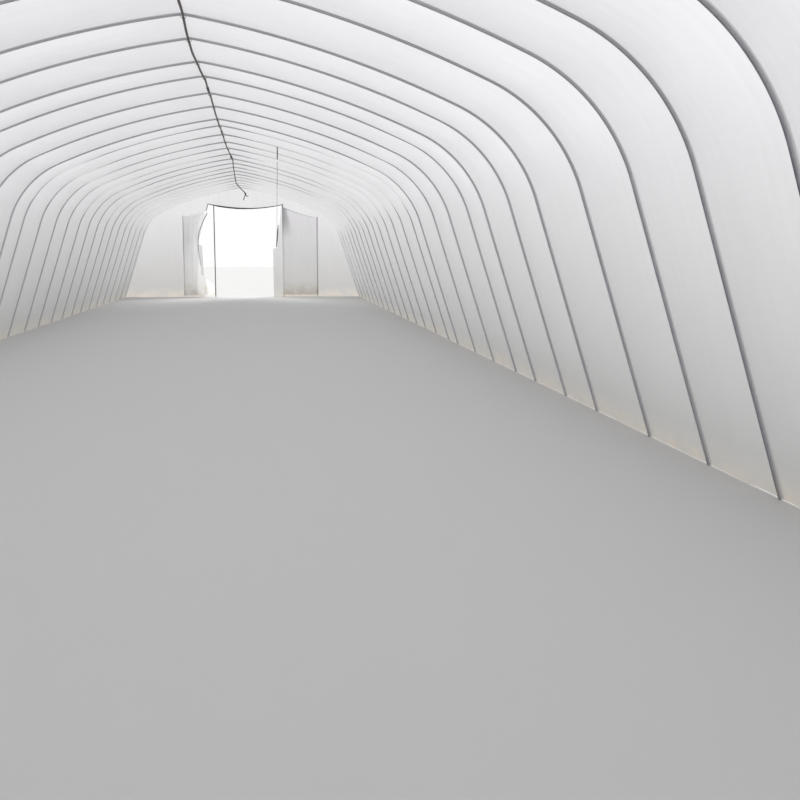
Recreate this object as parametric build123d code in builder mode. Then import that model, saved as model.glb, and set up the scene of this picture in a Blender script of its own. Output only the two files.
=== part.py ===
"""A walk-in polytunnel greenhouse: bent steel hoops, a ridge purlin, plastic film and two film-leaf doorways.

X runs across the tunnel, +Y along it to the far doorway and +Z up.
The origin is on the ground at the middle of the plan. Millimetres and degrees.
"""
import os
from math import acos, asin, cos, degrees, radians, sin, sqrt, tan

from build123d import *

# Cross-section of the hoops, along the centreline of the tube
span = 6000
leg_lean = 18.1
leg_length = 1650
shoulder_radius = 1075
shoulder_turn = 47.9
rafter_radius = 7530

# Row of hoops
bay_length = 910
bay_count = 30
hoops_in_node = 2

# Hoops set off their even places: number of the hoop, and how far along the tunnel
hoop_shifts = {
    7: -55,
    8: -165,
    9: -190,
    10: -45,
    11: -160,
    12: -120,
    13: -300,
    14: -200,
    15: -155,
    16: 30,
    17: -215,
    18: -135,
    19: -60,
    20: -60,
}

# Tubes, poles and film
hoop_diameter = 18
purlin_diameter = 18
drop_wire_diameter = 3
drop_twist_diameter = 6
drop_binding_diameter = 16
left_jamb_diameter = 20
right_jamb_diameter = 30
lintel_diameter = 32
leaf_pole_diameter = 25
film_thickness = 3

# Running and seating clearances
seat_gap = 0.3
hinge_gap = 0.5

# Door frame in each end wall, seen from inside at the far end: two poles under a bowed lintel
left_jamb_x = -720
right_jamb_x = 1020
lintel_left_x = -870
lintel_right_x = 1035
lintel_drop = 174
lintel_sag = 108

# Ragged opening cut in the end film behind the frame: places across, and drops below the lintel's ends
opening_left_foot_x = -1000
opening_step_x = -1040
opening_step_drop = 1055
opening_bulge_x = -1150
opening_bulge_drop = 1010
opening_left_head_x = -865
opening_right_x = 765
opening_tab_drop = 1122
opening_notch_x = 875
opening_notch_drop = 1097
opening_lean_x = 940
opening_lean_drop = 480
opening_right_head_x = 985

# Door leaves, measured from the hinge line
left_leaf_reach = 822
right_leaf_reach = 884
leaf_floor_gap = 25
leaf_head_gap = 20
leaf_free_drop = 305
film_hem = 30
left_leaf_rest = 23
right_leaf_rest = 0

# Slack edge of the left leaf's film: distances from the hinge line, each with its drop below the lintel's ends
slack_edge = [(130, 165), (349, 604), (430, 1020), (360, 1755)]
slack_hold_drop = 155
slack_hold_foot = 300

# Drop wire hung from one hoop: the lengths are of its bound top, its twisted part and the whole wire
drop_wire_x = 733
drop_wire_hoop = 18
drop_wire_lean = 1.2
drop_binding_length = 190
drop_twist_length = 360
drop_wire_length = 1380

# Ridge purlin: tied up as far as this hoop, then a loose end that droops and curls aside
purlin_last_hoop = 22
droop_radius = 4000
droop_turn = 8
droop_run = 1570
curl_radius = 70
curl_turn = 70
curl_side_lean = 45
curl_run = 229

# Worked out from the sizes above
hoop_count = bay_count + 1
hoop_r = hoop_diameter / 2
purlin_r = purlin_diameter / 2
left_jamb_r = left_jamb_diameter / 2
right_jamb_r = right_jamb_diameter / 2
lintel_r = lintel_diameter / 2
leaf_pole_r = leaf_pole_diameter / 2
tunnel_half_length = bay_count * bay_length / 2
end_film_inner_y = tunnel_half_length + hoop_r + seat_gap
end_film_outer_y = end_film_inner_y + film_thickness
jamb_front_y = end_film_inner_y - seat_gap - 2 * right_jamb_r
lintel_y = end_film_inner_y - seat_gap - lintel_r
leaf_y = jamb_front_y - hinge_gap - leaf_pole_r
cover_inset = hoop_r + seat_gap
cover_outset = cover_inset + film_thickness


def outward(angle):
    """Unit vector in the cross-section at this angle above the horizontal."""
    return cos(radians(angle)), sin(radians(angle))


# Centres of the two arcs of the right half: shoulder, then rafter
rafter_start = leg_lean + shoulder_turn
knee_x = span / 2 - leg_length * sin(radians(leg_lean))
knee_z = leg_length * cos(radians(leg_lean))
shoulder_x = knee_x - shoulder_radius * outward(leg_lean)[0]
shoulder_z = knee_z - shoulder_radius * outward(leg_lean)[1]
rafter_x = shoulder_x + (shoulder_radius - rafter_radius) * outward(rafter_start)[0]
rafter_z = shoulder_z + (shoulder_radius - rafter_radius) * outward(rafter_start)[1]


def ridge_angle(outset):
    """Angle above the horizontal at which the rafter arc, set out by outset, crosses the middle plane."""
    return degrees(acos(-rafter_x / (rafter_radius + outset)))


def shoulder_point(outset, angle):
    """Point of the shoulder arc, set out by outset, at this angle."""
    x, z = outward(angle)
    return shoulder_x + (shoulder_radius + outset) * x, shoulder_z + (shoulder_radius + outset) * z


def rafter_point(outset, angle):
    """Point of the rafter arc, set out by outset, at this angle."""
    x, z = outward(angle)
    return rafter_x + (rafter_radius + outset) * x, rafter_z + (rafter_radius + outset) * z


def foot_point(outset):
    """Where the leg, set out by outset, meets the ground."""
    return span / 2 + outset / cos(radians(leg_lean)), 0


def side_line(outset):
    """Foot and knee of the straight leg, set out by outset."""
    return foot_point(outset), shoulder_point(outset, leg_lean)


def shoulder_line(outset):
    """Start, middle and end of the shoulder arc, set out by outset."""
    middle = leg_lean + shoulder_turn / 2
    return [shoulder_point(outset, angle) for angle in (leg_lean, middle, rafter_start)]


def rafter_line(outset):
    """Start, middle and end of the rafter arc, set out by outset."""
    end = ridge_angle(outset)
    return [rafter_point(outset, angle) for angle in (rafter_start, (rafter_start + end) / 2, end)]


def roof_height(x, outset):
    """Height of the hoop line, set out by outset, at this distance from the middle plane."""
    x = abs(x)
    if x <= shoulder_point(outset, rafter_start)[0]:
        return rafter_z + sqrt((rafter_radius + outset) ** 2 - (x - rafter_x) ** 2)
    if x <= shoulder_point(outset, leg_lean)[0]:
        return shoulder_z + sqrt((shoulder_radius + outset) ** 2 - (x - shoulder_x) ** 2)
    return (foot_point(outset)[0] - x) / tan(radians(leg_lean))


def hoop_y(number):
    """Place of a hoop along the tunnel, counted from the near end."""
    return (number - 1) * bay_length - tunnel_half_length + hoop_shifts.get(number, 0)


def cross_plane(y):
    """Plane across the tunnel at this place along it: X to the right and Z up."""
    return Plane.XZ.offset(-y)


def end_turn(end):
    """The far end is as drawn, and the near end is the same turned half round."""
    return Location((0, 0, 0), (0, 0, 0 if end == "far" else 180))


def save(piece, name):
    """Label a finished piece and write it to its own file."""
    piece.part.label = name
    export_step(piece.part, f"parts/{name}.step")


os.makedirs("parts", exist_ok=True)

# One hoop: a straight leg, a shoulder bend and a rafter bend, mirrored in a mitre at the ridge
foot_tail = hoop_diameter
ridge_tail = degrees(hoop_diameter / rafter_radius)
lean_x, lean_z = sin(radians(leg_lean)), cos(radians(leg_lean))
tail_x, tail_z = span / 2 + foot_tail * lean_x, -foot_tail * lean_z
rafter_start_x, rafter_start_z = rafter_point(0, rafter_start)
turn_x, turn_z = outward(rafter_start + 90)
with BuildPart() as hoop:
    with BuildSketch(Plane(origin=(tail_x, 0, tail_z), z_dir=(-lean_x, 0, lean_z))):
        Circle(hoop_r)
    extrude(amount=foot_tail + leg_length)
    with BuildSketch(Plane(origin=(knee_x, 0, knee_z), z_dir=(-lean_x, 0, lean_z))):
        Circle(hoop_r)
    revolve(axis=Axis((shoulder_x, 0, shoulder_z), (0, -1, 0)), revolution_arc=shoulder_turn)
    with BuildSketch(Plane(origin=(rafter_start_x, 0, rafter_start_z), z_dir=(turn_x, 0, turn_z))):
        Circle(hoop_r)
    rafter_turn = ridge_angle(0) + ridge_tail - rafter_start
    revolve(axis=Axis((rafter_x, 0, rafter_z), (0, -1, 0)), revolution_arc=rafter_turn)
    split(bisect_by=Plane.XY, keep=Keep.TOP)
    split(bisect_by=Plane.YZ, keep=Keep.TOP)
    mirror(about=Plane.YZ)

# All hoops, bay by bay, two neighbours to a node
for first in range(1, hoop_count + 1, hoops_in_node):
    numbers = range(first, min(first + hoops_in_node, hoop_count + 1))
    with BuildPart() as hoops:
        for number in numbers:
            add(hoop.part.moved(Location((0, hoop_y(number), 0))))
    save(hoops, "hoops_" + "_".join(f"{number:02d}" for number in numbers))

# Ridge purlin: a long straight run under the peak of the hoops, a shallow droop and a short curl
ridge_slope = 90 - ridge_angle(-hoop_r)
purlin_z = roof_height(0, -hoop_r) - (purlin_r + seat_gap) / cos(radians(ridge_slope))
straight_end_y = hoop_y(purlin_last_hoop) + hoop_r
droop_way = Vector(0, cos(radians(droop_turn)), -sin(radians(droop_turn)))
droop_under = Vector(0, -sin(radians(droop_turn)), -cos(radians(droop_turn)))
droop_start = Vector(0, straight_end_y, purlin_z - droop_radius) - droop_under * droop_radius
curl_start = droop_start + droop_way * droop_run
curl_side = Vector(cos(radians(curl_side_lean)), 0, 0) + droop_under * sin(radians(curl_side_lean))
curl_way = droop_way * cos(radians(curl_turn)) + curl_side * sin(radians(curl_turn))
curl_centre = curl_start + curl_side * curl_radius
curl_out = droop_way * sin(radians(curl_turn)) - curl_side * cos(radians(curl_turn))
curl_end = curl_centre + curl_out * curl_radius
with BuildPart() as ridge_purlin:
    with BuildSketch(cross_plane(-tunnel_half_length - hoop_r)):
        with Locations((0, purlin_z)):
            Circle(purlin_r)
    extrude(amount=-(straight_end_y + tunnel_half_length + hoop_r))
    with BuildSketch(cross_plane(straight_end_y)):
        with Locations((0, purlin_z)):
            Circle(purlin_r)
    revolve(axis=Axis((0, straight_end_y, purlin_z - droop_radius), (-1, 0, 0)), revolution_arc=droop_turn)
    with BuildSketch(Plane(origin=droop_start, z_dir=droop_way)):
        Circle(purlin_r)
    extrude(amount=droop_run)
    with BuildSketch(Plane(origin=curl_start, z_dir=droop_way)):
        Circle(purlin_r)
    revolve(axis=Axis(curl_centre, droop_way.cross(curl_side)), revolution_arc=curl_turn)
    with BuildSketch(Plane(origin=curl_end, z_dir=curl_way)):
        Circle(purlin_r)
    extrude(amount=curl_run)
save(ridge_purlin, "ridge_purlin")

# Stiff drop wire under one rafter, bound thick at its top and twisted double below that
drop_binding_r = drop_binding_diameter / 2
drop_start = (drop_wire_x, hoop_y(drop_wire_hoop), roof_height(drop_wire_x + drop_binding_r, -hoop_r) - seat_gap)
drop_way = (-sin(radians(drop_wire_lean)), 0, -cos(radians(drop_wire_lean)))
with BuildPart() as drop_wire:
    for diameter, length in (
        (drop_binding_diameter, drop_binding_length),
        (drop_twist_diameter, drop_binding_length + drop_twist_length),
        (drop_wire_diameter, drop_wire_length),
    ):
        with BuildSketch(Plane(origin=drop_start, z_dir=drop_way)):
            Circle(diameter / 2)
        extrude(amount=length)
save(drop_wire, "drop_wire")


def side_strip():
    """Section of the film over a leg, cut level at the ground."""
    inner_foot, inner_knee = side_line(cover_inset)
    outer_foot, outer_knee = side_line(cover_outset)
    Polyline(inner_foot, outer_foot, outer_knee, inner_knee, close=True)


def arc_strip(inner, outer):
    """Section of the film over an arc, between its inner and outer lines."""
    ThreePointArc(*inner)
    ThreePointArc(*outer)
    Line(inner[0], outer[0])
    Line(inner[-1], outer[-1])


# The film over the hoops: side, shoulder and roof strips on the left and the right
for strip in ("side", "shoulder", "roof"):
    with BuildPart() as right_strip:
        with BuildSketch(cross_plane(-end_film_outer_y)):
            with BuildLine():
                if strip == "side":
                    side_strip()
                elif strip == "shoulder":
                    arc_strip(shoulder_line(cover_inset), shoulder_line(cover_outset))
                else:
                    arc_strip(rafter_line(cover_inset), rafter_line(cover_outset))
            make_face()
        extrude(amount=-2 * end_film_outer_y)
    save(right_strip, f"film_{strip}_right")
    with BuildPart() as left_strip:
        mirror(right_strip.part, about=Plane.YZ)
    save(left_strip, f"film_{strip}_left")

# The lintel bows down between its ends, which hang below the roof line
lintel_end_height = roof_height(lintel_right_x, -hoop_r) - lintel_drop
lintel_middle_x = (lintel_left_x + lintel_right_x) / 2
lintel_half = (lintel_right_x - lintel_left_x) / 2
lintel_radius = (lintel_half**2 + lintel_sag**2) / (2 * lintel_sag)
lintel_centre_z = lintel_end_height - lintel_sag + lintel_radius


def lintel_height(x):
    """Height of the middle of the bowed lintel at this place across the doorway."""
    return lintel_centre_z - sqrt(lintel_radius**2 - (x - lintel_middle_x) ** 2)


def under_lintel(x, reach):
    """Lowest height of the lintel's underside from reach left of x to reach right of it."""
    return min(lintel_height(x + step * reach) for step in (-1, 0, 1)) - lintel_r


def end_wall_outline():
    """The whole end wall: the outer line of the end hoop, closed along the ground."""
    for side in (1, -1):
        for line in (side_line(hoop_r), shoulder_line(hoop_r), rafter_line(hoop_r)):
            points = [(side * x, z) for x, z in line]
            Polyline(*points) if len(points) == 2 else ThreePointArc(*points)
    Line((-foot_point(hoop_r)[0], 0), foot_point(hoop_r))


def doorway_outline():
    """The opening in the end film: ragged sides, with a tab left low on the right, and the lintel's bow on top."""
    head_left = (opening_left_head_x, lintel_height(opening_left_head_x))
    head_middle = (lintel_middle_x, lintel_height(lintel_middle_x))
    head_right = (opening_right_head_x, lintel_height(opening_right_head_x))
    step = (opening_step_x, lintel_end_height - opening_step_drop)
    bulge = (opening_bulge_x, lintel_end_height - opening_bulge_drop)
    lean = (opening_lean_x, lintel_end_height - opening_lean_drop)
    notch = (opening_notch_x, lintel_end_height - opening_notch_drop)
    tab = (opening_right_x, lintel_end_height - opening_tab_drop)
    Polyline((opening_left_foot_x, 0), step, bulge, head_left)
    ThreePointArc(head_left, head_middle, head_right)
    Polyline(head_right, lean, notch, tab, (opening_right_x, 0), (opening_left_foot_x, 0))


def end_film(low_x, high_x):
    """Flat film of an end wall between two places across it, less the doorway."""
    with BuildPart() as panel:
        with BuildSketch(cross_plane(end_film_inner_y)):
            with BuildLine():
                end_wall_outline()
            make_face()
            with Locations(((low_x + high_x) / 2, 0)):
                Rectangle(high_x - low_x, 2 * span, mode=Mode.INTERSECT)
            with BuildLine():
                doorway_outline()
            make_face(mode=Mode.SUBTRACT)
        extrude(amount=-film_thickness)
    return panel


def turned(piece, end):
    """The same piece placed at the far or the near end."""
    with BuildPart() as placed:
        add(piece.part.moved(end_turn(end)))
    return placed


# End wall film: left of the doorway, right of it and over it
end_films = {
    "left": end_film(-span, opening_left_head_x),
    "right": end_film(opening_right_x, span),
    "over": end_film(opening_left_head_x, opening_right_x),
}

# Jambs: two poles from the ground to the lintel, level with each other at the front
jambs = {}
for side, jamb_x, jamb_r in (("left", left_jamb_x, left_jamb_r), ("right", right_jamb_x, right_jamb_r)):
    with BuildPart() as jamb:
        with BuildSketch(Plane.XY):
            with Locations((jamb_x, jamb_front_y + jamb_r)):
                Circle(jamb_r)
        extrude(amount=under_lintel(jamb_x, jamb_r) - seat_gap)
    jambs[side] = jamb

# Lintel: a bowed pole lying on the jambs
lintel_turn = 2 * degrees(asin(lintel_half / lintel_radius))
lintel_start_x, lintel_start_z = outward(-lintel_turn / 2)
lintel_start = (lintel_left_x, lintel_y, lintel_end_height)
with BuildPart() as lintel:
    with BuildSketch(Plane(origin=lintel_start, z_dir=(lintel_start_x, 0, lintel_start_z))):
        Circle(lintel_r)
    revolve(axis=Axis((lintel_middle_x, lintel_y, lintel_centre_z), (0, -1, 0)), revolution_arc=lintel_turn)

# Door leaves: a pole at the hinge, a pole at the free edge and film between, drawn along +X from the hinge
leaf_poles = {}
leaf_films = {}
leaf_free_head = lintel_end_height - leaf_free_drop
slack_points = [(x, lintel_end_height - drop) for x, drop in slack_edge]
slack_hold_top = (0, lintel_end_height - slack_hold_drop)
for side, hinge_x, reach in (("left", left_jamb_x, left_leaf_reach), ("right", right_jamb_x, right_leaf_reach)):
    leaf_head = under_lintel(hinge_x, leaf_pole_r) - leaf_head_gap
    with BuildPart() as poles:
        for pole_x, pole_head in ((0, leaf_head), (reach, leaf_free_head)):
            with BuildSketch(Plane.XY.offset(leaf_floor_gap)):
                with Locations((pole_x, 0)):
                    Circle(leaf_pole_r)
            extrude(amount=pole_head - leaf_floor_gap)
    leaf_poles[side] = poles
    film_low_x = leaf_pole_r + seat_gap
    film_high_x = reach - leaf_pole_r - seat_gap
    film_foot = leaf_floor_gap + film_hem
    with BuildPart() as leaf_film:
        with BuildSketch(cross_plane(-film_thickness / 2)):
            with BuildLine():
                Polyline(
                    (film_low_x, film_foot),
                    (film_high_x, film_foot),
                    (film_high_x, leaf_free_head - film_hem),
                    (film_low_x, leaf_head - film_hem),
                    close=True,
                )
            make_face()
            if side == "left":
                with BuildLine():
                    Line(slack_hold_top, slack_points[0])
                    ThreePointArc(*slack_points[:3])
                    Polyline(slack_points[2], slack_points[3], (0, slack_hold_foot), slack_hold_top)
                make_face(mode=Mode.SUBTRACT)
        extrude(amount=-film_thickness)
    leaf_films[side] = leaf_film

leaf_places = {
    "left": Location((left_jamb_x, leaf_y, 0), (0, 0, 180 + left_leaf_rest)),
    "right": Location((right_jamb_x, leaf_y, 0), (0, 0, -right_leaf_rest)),
}

for end in ("far", "near"):
    for place, panel in end_films.items():
        save(turned(panel, end), f"end_film_{end}_{place}")
    for side, jamb in jambs.items():
        save(turned(jamb, end), f"door_jamb_{end}_{side}")
    save(turned(lintel, end), f"door_lintel_{end}")
    for side, place in leaf_places.items():
        for kind, leaf_piece in (("poles", leaf_poles[side]), ("film", leaf_films[side])):
            with BuildPart() as hung:
                add(leaf_piece.part.moved(place).moved(end_turn(end)))
            save(hung, f"door_leaf_{kind}_{end}_{side}")
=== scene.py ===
"""Looks of a walk-in polytunnel: galvanised hoops, a ridge purlin, milky film and two ragged doorways."""

import bpy
import numpy as np
from mathutils import Matrix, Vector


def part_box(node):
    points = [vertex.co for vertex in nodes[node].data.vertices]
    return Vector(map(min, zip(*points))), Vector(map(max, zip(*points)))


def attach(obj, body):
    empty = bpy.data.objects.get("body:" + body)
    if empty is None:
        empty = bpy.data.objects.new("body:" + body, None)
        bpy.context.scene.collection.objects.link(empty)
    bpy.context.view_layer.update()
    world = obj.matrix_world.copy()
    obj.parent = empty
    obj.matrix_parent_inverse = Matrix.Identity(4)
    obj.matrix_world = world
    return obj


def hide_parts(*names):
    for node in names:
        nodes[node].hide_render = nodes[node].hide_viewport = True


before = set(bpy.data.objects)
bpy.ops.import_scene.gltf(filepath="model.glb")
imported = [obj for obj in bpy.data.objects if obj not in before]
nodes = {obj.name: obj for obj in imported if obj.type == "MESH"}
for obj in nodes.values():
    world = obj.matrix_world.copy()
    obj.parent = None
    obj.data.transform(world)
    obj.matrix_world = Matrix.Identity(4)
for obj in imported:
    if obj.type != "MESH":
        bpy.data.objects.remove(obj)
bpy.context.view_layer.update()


# Camera: it stands inside the tunnel a little in from the near end, right of the middle,
# at 1.2 m over the ground, and looks along the tunnel to the far doorway.
camera_place = (0.518, -12.72, 1.2)
camera_yaw = np.radians(7.70)
camera_pitch = np.radians(-8.50)
camera_roll = np.radians(0.15)
level_ahead = np.array([np.sin(camera_yaw), np.cos(camera_yaw), 0.0])
ahead = np.cos(camera_pitch) * level_ahead + np.sin(camera_pitch) * np.array([0.0, 0.0, 1.0])
level_right = np.array([np.cos(camera_yaw), -np.sin(camera_yaw), 0.0])
level_up = np.cross(level_right, ahead)
rolled_right = np.cos(camera_roll) * level_right + np.sin(camera_roll) * level_up
rolled_up = np.cos(camera_roll) * level_up - np.sin(camera_roll) * level_right
camera_data = bpy.data.cameras.new("tunnel_camera")
camera_data.sensor_width = 36.0
camera_data.lens = 45.05
camera_data.clip_start = 0.05
camera_data.clip_end = 300.0
camera = bpy.data.objects.new("tunnel_camera", camera_data)
bpy.context.scene.collection.objects.link(camera)
turn = Matrix([list(row) for row in np.column_stack([rolled_right, rolled_up, -ahead])]).to_4x4()
camera.matrix_world = Matrix.Translation(camera_place) @ turn
bpy.context.scene.camera = camera


# Stage: a plain pale floor that keeps the tunnel's shadow, and a pale world. Two broad lamps
# stand beyond the far doorway, one on each side, so the film glows most where it faces that way.
def node_tree(owner):
    """Empty node tree of a material, or of the world, ready for new nodes."""
    owner.use_nodes = True
    owner.node_tree.nodes.clear()
    return owner.node_tree


def add_node(tree, kind, links=None, **values):
    """New node of this kind. Values go to its sockets or properties by name, links to its sockets."""
    node = tree.nodes.new(kind)
    for name, value in values.items():
        if hasattr(node, name):
            setattr(node, name, value)
        else:
            node.inputs[name.replace("_", " ")].default_value = value
    for name, source in (links or {}).items():
        tree.links.new(source, node.inputs[name])
    return node


def combine(tree, operation, first, second, clamp=False):
    """Result of a Math node with two values. Each value is a socket or a number."""
    node = add_node(tree, "ShaderNodeMath", operation=operation, use_clamp=clamp)
    for place, value in enumerate((first, second)):
        if isinstance(value, (int, float)):
            node.inputs[place].default_value = value
        else:
            tree.links.new(value, node.inputs[place])
    return node.outputs[0]


sky = bpy.data.worlds.new("pale_sky")
bpy.context.scene.world = sky
sky_tree = node_tree(sky)
sky_strength = 0.54
rays = add_node(sky_tree, "ShaderNodeLightPath").outputs
seen_or_glossy = combine(sky_tree, "MAXIMUM", rays["Is Camera Ray"], rays["Is Glossy Ray"])
seen_or_passed = combine(sky_tree, "MAXIMUM", seen_or_glossy, rays["Is Transmission Ray"])
seen = combine(sky_tree, "SUBTRACT", seen_or_passed, rays["Is Diffuse Ray"], clamp=True)
lighting = add_node(sky_tree, "ShaderNodeBackground", Color=(0.97, 0.985, 1.0, 1.0), Strength=sky_strength)
white = add_node(sky_tree, "ShaderNodeBackground", Color=(1.0, 1.0, 1.0, 1.0), Strength=1.0)
sky_mix = add_node(sky_tree, "ShaderNodeMixShader", {0: seen, 1: lighting.outputs[0], 2: white.outputs[0]})
add_node(sky_tree, "ShaderNodeOutputWorld", {"Surface": sky_mix.outputs[0]})

lamp_tilt = -62
lamp_breadth = 40
lamp_white = (1.0, 0.985, 0.975)
for lamp_name, lamp_energy, lamp_heading in (("broad_lamp_right", 2.58, 38), ("broad_lamp_left", 1.98, -38)):
    lamp_data = bpy.data.lights.new(lamp_name, "SUN")
    lamp_data.energy = lamp_energy
    lamp_data.angle = np.radians(lamp_breadth)
    lamp_data.color = lamp_white
    lamp = bpy.data.objects.new(lamp_name, lamp_data)
    bpy.context.scene.collection.objects.link(lamp)
    lamp.rotation_euler = (np.radians(lamp_tilt), 0.0, np.radians(-lamp_heading))

floor_reach = 60.0
floor_grey = (0.66, 0.66, 0.655, 1.0)
floor_mesh = bpy.data.meshes.new("floor")
floor_corners = [(x * floor_reach, y * floor_reach, 0) for x, y in ((-1, -1), (1, -1), (1, 1), (-1, 1))]
floor_mesh.from_pydata(floor_corners, [], [(0, 1, 2, 3)])
floor = bpy.data.objects.new("floor", floor_mesh)
bpy.context.scene.collection.objects.link(floor)
floor_material = bpy.data.materials.new("pale_floor")
floor_tree = node_tree(floor_material)
floor_shader = add_node(floor_tree, "ShaderNodeBsdfPrincipled", Base_Color=floor_grey, Roughness=0.9)
add_node(floor_tree, "ShaderNodeOutputMaterial", {"Surface": floor_shader.outputs[0]})
floor_mesh.materials.append(floor_material)
bpy.context.scene.view_settings.view_transform = "Standard"


# Hoops: thirty-one bent galvanised tubes, 18 mm thick, standing in the ground about 0.91 m apart.
# The zinc has gone dull grey in soft mottled patches, with a little rust near the feet. It is painted paler
# on the sides that face the near end and the film (painted light), and paler towards the far end and
# overhead.
def new_group(name, inputs, outputs):
    """Shader node group with these inputs (name, kind, start value) and outputs (name, kind)."""
    group = bpy.data.node_groups.new(name, "ShaderNodeTree")
    for label, kind, value in inputs:
        socket = group.interface.new_socket(label, in_out="INPUT", socket_type=kind)
        if value is not None:
            socket.default_value = value
    for label, kind in outputs:
        group.interface.new_socket(label, in_out="OUTPUT", socket_type=kind)
    return group, add_node(group, "NodeGroupInput"), add_node(group, "NodeGroupOutput")


def place_group(tree, group, links=None, **values):
    """Node group placed in a material, with its own values."""
    return add_node(tree, "ShaderNodeGroup", links, node_tree=group, **values)


def blend_colours(tree, mask, first, second):
    """Mix of two colours by a mask. Each colour is a socket or four numbers."""
    mix = add_node(tree, "ShaderNodeMix", data_type="RGBA")
    tree.links.new(mask, mix.inputs[0])
    for place, colour in ((6, first), (7, second)):
        if isinstance(colour, tuple):
            mix.inputs[place].default_value = colour
        else:
            tree.links.new(colour, mix.inputs[place])
    return mix.outputs[2]


def spread(tree, source, low, high, out_low=0.0, out_high=1.0):
    """Source values from low to high spread over out_low to out_high, held at both ends."""
    ranged = add_node(tree, "ShaderNodeMapRange", {"Value": source})
    for label, value in (("From Min", low), ("From Max", high), ("To Min", out_low), ("To Max", out_high)):
        ranged.inputs[label].default_value = value
    return ranged.outputs[0]


def coordinate(tree, place, axis):
    """One coordinate, X, Y or Z, of a place."""
    return add_node(tree, "ShaderNodeSeparateXYZ", {0: place}).outputs[axis]


def foot_mask(tree, place, low, high):
    """One below the low height on the piece, falling to nothing at the high one."""
    return spread(tree, coordinate(tree, place, "Z"), low, high, 1.0, 0.0)


def apply_material(target, material):
    """Give a piece this one material."""
    target.data.materials.clear()
    target.data.materials.append(material)


COLOUR, NUMBER, DIRECTION = "NodeSocketColor", "NodeSocketFloat", "NodeSocketVector"

patches, patches_in, patches_out = new_group(
    "mottled_patches",
    [("Vector", DIRECTION, None), ("Scale", NUMBER, 10.0), ("Detail", NUMBER, 4.0)],
    [("Mask", NUMBER), ("Fine", NUMBER)],
)
patches_given = patches_in.outputs
grain_fineness = 7.0
broad_sockets = {key: patches_given[key] for key in ("Vector", "Scale", "Detail")}
broad_noise = add_node(patches, "ShaderNodeTexNoise", broad_sockets, Roughness=0.6)
fine_scale = combine(patches, "MULTIPLY", patches_given["Scale"], grain_fineness)
fine_sockets = {"Vector": patches_given["Vector"], "Scale": fine_scale}
fine_noise = add_node(patches, "ShaderNodeTexNoise", fine_sockets, Detail=3.0)
patches.links.new(spread(patches, broad_noise.outputs[0], 0.36, 0.64), patches_out.inputs["Mask"])
patches.links.new(fine_noise.outputs[0], patches_out.inputs["Fine"])


all_over = -1.0


def metal_material(name, dull, bright, rust, roughness, metallic, rust_height=all_over, coat=None):
    """Old metal or a dark grey hem: two greys in patches, fine grain in the bump, and rust in spots.

    The spots reach from the foot to rust_height, and a height below the ground puts them all over.
    A coat is a function that lays further tones over the colour; for the hoops, painted light and paler
    layers.
    """
    material = bpy.data.materials.new(name)
    tree = node_tree(material)
    place = add_node(tree, "ShaderNodeTexCoord").outputs["Object"]
    mottle = place_group(tree, patches, {"Vector": place}, Scale=9.0, Detail=5.0)
    specks = place_group(tree, patches, {"Vector": place}, Scale=60.0, Detail=3.0)
    grey = blend_colours(tree, mottle.outputs["Mask"], dull, bright)
    speckled = blend_colours(tree, spread(tree, specks.outputs["Fine"], 0.55, 0.75, 0.0, 0.45), grey, dull)
    spots = spread(tree, specks.outputs["Mask"], 0.3, 0.9)
    rusty = combine(tree, "MULTIPLY", foot_mask(tree, place, 0.0, rust_height), spots)
    colour = blend_colours(tree, rusty, speckled, rust)
    if coat:
        colour = coat(tree, place, colour)
    grain = {"Height": specks.outputs["Fine"]}
    bump = add_node(tree, "ShaderNodeBump", grain, Strength=0.25, Distance=0.0006)
    shader = add_node(
        tree,
        "ShaderNodeBsdfPrincipled",
        {
            "Base Color": colour,
            "Roughness": spread(tree, mottle.outputs["Fine"], 0.3, 0.7, roughness - 0.08, roughness + 0.12),
            "Metallic": spread(tree, rusty, 0.0, 1.0, metallic, 0.0),
            "Normal": bump.outputs[0],
        },
    )
    add_node(tree, "ShaderNodeOutputMaterial", {"Surface": shader.outputs[0]})
    return material


tunnel_middle = (0.0, 0.0, 0.9)
across_the_tunnel = (1.0, 0.0, 1.0)


def hoop_painted_light_and_paling(tree, place, colour):
    """Paler tones over the zinc in layers, each spread between two values of what it follows.

    The sides that face the near end and the sides turned to the film are painted paler: painted light from
    the glowing film. The zinc also gets paler more and more towards the far end, and a little more overhead.
    How far a side is turned to the film is the cosine between its normal and the line out from the tunnel's
    middle, with no part along the tunnel.
    """
    normal = add_node(tree, "ShaderNodeTexCoord").outputs["Normal"]
    out_line = add_node(tree, "ShaderNodeVectorMath", {0: place}, operation="SUBTRACT")
    out_line.inputs[1].default_value = tunnel_middle
    cross_line = add_node(tree, "ShaderNodeVectorMath", {0: out_line.outputs[0]}, operation="MULTIPLY")
    cross_line.inputs[1].default_value = across_the_tunnel
    unit_line = add_node(tree, "ShaderNodeVectorMath", {0: cross_line.outputs[0]}, operation="NORMALIZE")
    both = {0: unit_line.outputs[0], 1: normal}
    to_film = add_node(tree, "ShaderNodeVectorMath", both, operation="DOT_PRODUCT")
    along = coordinate(tree, place, "Y")
    # Painted light: the first two layers make the sides that face the near end and the film paler.
    layers = (
        (coordinate(tree, normal, "Y"), (-0.95, -0.35), (0.34, 0.0), (0.68, 0.68, 0.71, 1.0)),
        (to_film.outputs["Value"], (-0.45, 0.70), (0.0, 0.85), (0.72, 0.72, 0.75, 1.0)),
        (along, (-9.4, -1.6), (0.0, 0.64), (0.80, 0.80, 0.82, 1.0)),
        (along, (4.0, 11.0), (0.0, 0.55), (0.84, 0.84, 0.86, 1.0)),
        (coordinate(tree, place, "Z"), (1.5, 2.4), (0.0, 0.4), (0.62, 0.62, 0.64, 1.0)),
    )
    for follows, between, amounts, dust_colour in layers:
        colour = blend_colours(tree, spread(tree, follows, *between, *amounts), colour, dust_colour)
    return colour


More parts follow.
